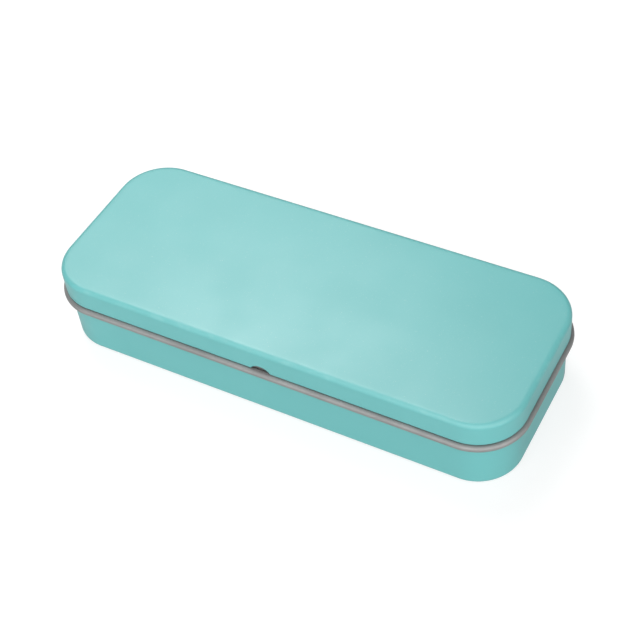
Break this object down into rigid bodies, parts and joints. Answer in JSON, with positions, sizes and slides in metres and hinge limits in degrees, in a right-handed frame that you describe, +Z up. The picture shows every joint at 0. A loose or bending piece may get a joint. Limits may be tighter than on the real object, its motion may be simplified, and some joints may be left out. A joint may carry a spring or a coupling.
{
  "type": "hinged pencil tin",
  "caption": "Flat rounded-corner pencil tin in painted sheet metal, with a bare curled rim and a lid that swings on wire-pin hinges at the back.",
  "frame": {"origin": "on the surface the tin stands on, under the middle of the lid", "axes": "+X along the tin to the right, the thumb notch faces -Y, the hinges are at +Y, +Z up through the lid"},
  "size_m": [0.2026, 0.0836, 0.036],
  "materials": {
    "painted_tinplate": "mint green satin lacquer",
    "bare_tinplate": "bare bright tinplate",
    "hinge_steel": "bare pressed steel",
    "pin_wire": "drawn steel wire"
  },
  "bodies": {
    "base": {"base": "painted_tinplate", "collar": "bare_tinplate", "hinge_left_base_leaf": "hinge_steel", "hinge_left_pin": "pin_wire", "hinge_right_base_leaf": "hinge_steel", "hinge_right_pin": "pin_wire"},
    "lid": {"lid": "painted_tinplate", "hinge_left_lid_leaf": "hinge_steel", "hinge_right_lid_leaf": "hinge_steel"}
  },
  "joints": [
    {"name": "lid_hinge", "type": "hinge", "parent": "base", "child": "lid", "pos_m": [0, 0.04185, 0.0254], "axis": [-1, 0, 0], "range_deg": [0, 180]}
  ]
}
